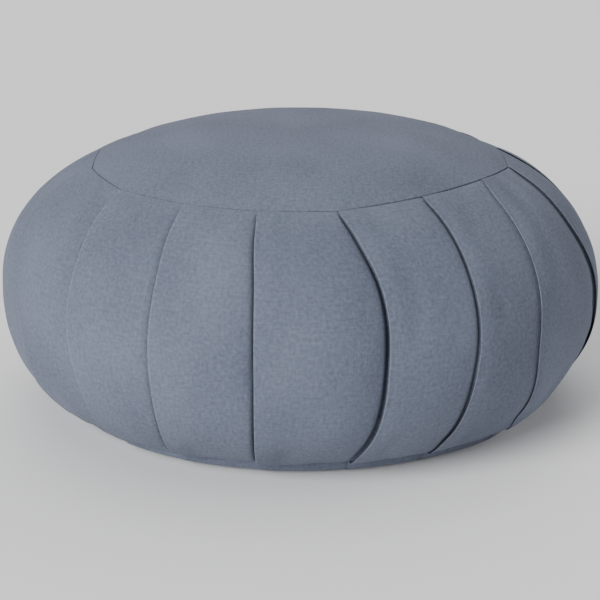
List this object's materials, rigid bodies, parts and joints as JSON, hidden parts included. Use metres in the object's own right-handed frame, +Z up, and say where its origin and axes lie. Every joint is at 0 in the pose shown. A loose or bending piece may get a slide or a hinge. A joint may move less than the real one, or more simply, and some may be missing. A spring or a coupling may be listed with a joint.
{
  "type": "zafu meditation cushion",
  "caption": "Round firm floor cushion of plain canvas: crowned seat disc, knife-pleated bulging side band and flat base disc.",
  "frame": {"origin": "on the floor, under the middle of the cushion", "axes": "+Z up through the middle of the seat, -Y towards the front of the picture, +X to its right"},
  "size_m": [0.3283, 0.3303, 0.151],
  "materials": {
    "canvas_band": "plain-woven slate blue cotton canvas, matt, pressed pleats",
    "canvas_seat": "plain-woven slate blue cotton canvas, matt, stretched over the filling",
    "canvas_base": "plain-woven slate blue cotton canvas, matt, flattened by the floor"
  },
  "bodies": {
    "root": {"side_band": "canvas_band", "top_panel": "canvas_seat", "bottom_panel": "canvas_base"}
  },
  "joints": []
}
